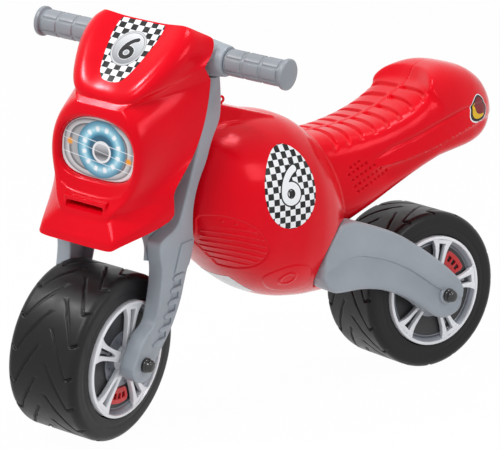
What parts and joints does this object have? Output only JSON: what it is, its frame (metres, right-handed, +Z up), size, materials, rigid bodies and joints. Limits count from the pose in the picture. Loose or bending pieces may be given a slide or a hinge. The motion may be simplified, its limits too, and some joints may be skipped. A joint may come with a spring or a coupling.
{
  "type": "kids ride-on motorcycle",
  "caption": "Foot-powered ride-on toy motorcycle: hollow-bodied seat and tank, swing arms, turning fork with bar, fairing and wide wheels.",
  "frame": {"origin": "the middle of the rear tyre's lowest facet, where it rests on the ground", "axes": "+Z up, -Y towards the front wheel, +X towards the rider's left; the rear axle lies along X"},
  "size_m": [0.3498, 0.7407, 0.5208],
  "materials": {
    "red_plastic": "gloss",
    "grey_plastic": "satin",
    "grip_vinyl": "satin",
    "tyre_rubber": "satin",
    "silver_plastic": "gloss",
    "steel": "satin",
    "black_plastic": "gloss",
    "lamp_plate": "gloss",
    "natural_nylon": "matte"
  },
  "bodies": {
    "body": {"body_shell": "red_plastic", "cord_eyelet": "red_plastic", "left_swing_arm": "grey_plastic", "right_swing_arm": "grey_plastic", "arm_tie_rod": "steel", "rear_axle": "steel", "rear_left_axle_cap": "black_plastic", "rear_right_axle_cap": "black_plastic", "rear_left_washer": "steel", "rear_right_washer": "steel", "lower_steering_bush": "natural_nylon", "upper_steering_bush": "natural_nylon"},
    "fork": {"fork_left_leg": "grey_plastic", "fork_right_leg": "grey_plastic", "fork_crown": "grey_plastic", "fork_top_yoke": "grey_plastic", "steering_pin": "steel", "steering_pin_nut": "steel", "handlebar": "grey_plastic", "left_grip": "grip_vinyl", "right_grip": "grip_vinyl", "front_fairing": "red_plastic", "headlight_plate": "lamp_plate", "left_fairing_screw": "steel", "right_fairing_screw": "steel", "front_axle": "steel", "front_left_axle_cap": "black_plastic", "front_right_axle_cap": "black_plastic", "front_left_washer": "steel", "front_right_washer": "steel"},
    "front_wheel": {"front_tyre": "tyre_rubber", "front_left_rim": "silver_plastic", "front_right_rim": "silver_plastic", "front_wheel_sleeve": "natural_nylon"},
    "rear_wheel": {"rear_tyre": "tyre_rubber", "rear_left_rim": "silver_plastic", "rear_right_rim": "silver_plastic", "rear_wheel_sleeve": "natural_nylon"}
  },
  "joints": [
    {"name": "steering", "type": "hinge", "parent": "body", "child": "fork", "pos_m": [0, -0.4248, 0.3], "axis": [0, 0.2823, 0.9593], "range_deg": [-48.7, 1.3]},
    {"name": "front_wheel_spin", "type": "hinge", "parent": "fork", "child": "front_wheel", "pos_m": [0.01233, -0.51002, 0.10998], "axis": [0.9157, 0.3856, -0.1135], "continuous": true},
    {"name": "rear_wheel_spin", "type": "hinge", "parent": "body", "child": "rear_wheel", "pos_m": [0, 0, 0.106], "axis": [1, 0, 0], "continuous": true}
  ]
}
